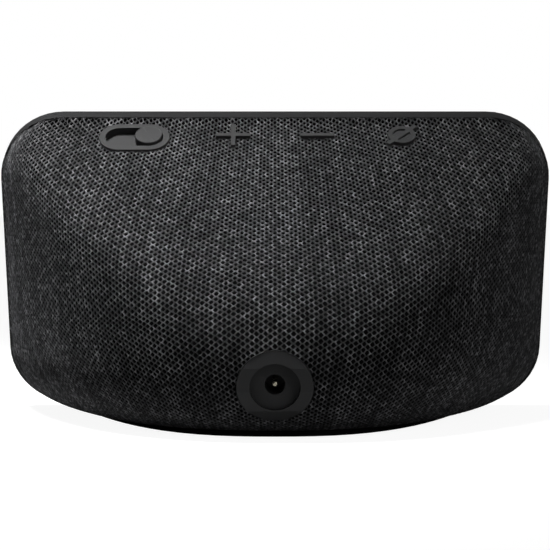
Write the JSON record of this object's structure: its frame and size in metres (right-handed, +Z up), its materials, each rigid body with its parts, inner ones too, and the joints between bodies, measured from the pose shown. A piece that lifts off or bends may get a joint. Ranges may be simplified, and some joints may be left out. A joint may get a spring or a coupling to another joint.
{
  "type": "smart display",
  "caption": "Countertop smart display: leaning glass screen in a slim frame, knitted wedge-shaped back, camera shutter slider, volume and mute keys, power inlet.",
  "frame": {"origin": "middle of the bounding box's underside, on the surface the display stands on", "axes": "+X runs across the screen, to the right for someone facing it, the screen faces -Y and leans back, +Z is up"},
  "size_m": [0.147, 0.0909, 0.082],
  "materials": {
    "aluminium": "rolled sheet",
    "board": "solder-masked circuit board",
    "cone": "pressed fibre pulp",
    "contact": "plated contact metal",
    "dark_part": "moulded component body",
    "diffuser": "white diffuser film",
    "flex": "flexible printed film",
    "foam": "closed-cell foam",
    "glass_face": "polished dark glass",
    "key": "fine satin moulding",
    "knit": "open knitted mesh of melange yarn",
    "lens": "coated lens",
    "magnet": "sintered magnet with a steel pole",
    "screen": "smooth dark panel",
    "shell": "fine matt moulding",
    "shutter": "pale matt moulding",
    "soft_rubber": "matt rubber",
    "steel": "plain stamped steel",
    "trim": "fine satin moulding"
  },
  "bodies": {
    "housing": {"front_frame": "trim", "cover_glass": "glass_face", "lcd_panel": "screen", "backlight": "diffuser", "display_bracket": "steel", "bracket_screw_1": "steel", "bracket_screw_2": "steel", "bracket_screw_3": "steel", "bracket_screw_4": "steel", "camera_lens": "lens", "camera_module": "dark_part", "light_sensor": "dark_part", "heat_plate": "aluminium", "main_board": "board", "board_screw_1": "steel", "board_screw_2": "steel", "board_screw_3": "steel", "board_screw_4": "steel", "shield_can": "steel", "memory_chip": "dark_part", "radio_antenna": "contact", "display_ribbon": "flex", "key_ribbon": "flex", "switch_plus": "steel", "switch_minus": "steel", "switch_mute": "steel", "key_board": "board", "microphone_1": "steel", "microphone_2": "steel", "slider_bezel": "key", "speaker_gasket": "foam", "speaker_basket": "shell", "speaker_surround": "soft_rubber", "speaker_magnet": "magnet", "speaker_chamber": "shell", "jack_body": "dark_part", "jack_pin": "contact", "jack_bezel": "shell", "foot_pad": "soft_rubber", "base_plate": "steel", "base_screw_1": "steel", "base_screw_2": "steel", "base_screw_3": "steel", "base_screw_4": "steel", "rear_housing": "shell", "knit_cover": "knit", "speaker_cable": "soft_rubber", "jack_cable": "soft_rubber"},
    "plus_key": {"button_plus": "key"},
    "minus_key": {"button_minus": "key"},
    "mute_key": {"button_mute": "key"},
    "shutter_slider": {"slider_knob": "key", "camera_shutter": "shutter"},
    "speaker_driver": {"speaker_cone": "cone", "speaker_dust_cap": "cone"}
  },
  "joints": [
    {"name": "plus_press", "type": "slide", "parent": "housing", "child": "plus_key", "axis": [0, -0.6252, -0.7804], "range_m": [0, 0.0006], "stiffness_N_per_m": 2000},
    {"name": "minus_press", "type": "slide", "parent": "housing", "child": "minus_key", "axis": [0, -0.6252, -0.7804], "range_m": [0, 0.0006], "stiffness_N_per_m": 2000},
    {"name": "mute_press", "type": "slide", "parent": "housing", "child": "mute_key", "axis": [0, -0.6252, -0.7804], "range_m": [0, 0.0006], "stiffness_N_per_m": 2000},
    {"name": "shutter_slide", "type": "slide", "parent": "housing", "child": "shutter_slider", "axis": [1, 0, 0], "range_m": [0, 0.0073]},
    {"name": "cone_excursion", "type": "slide", "parent": "housing", "child": "speaker_driver", "axis": [0, 0.6252, 0.7804], "range_m": [-0.0008, 0.0008], "stiffness_N_per_m": 1500}
  ]
}
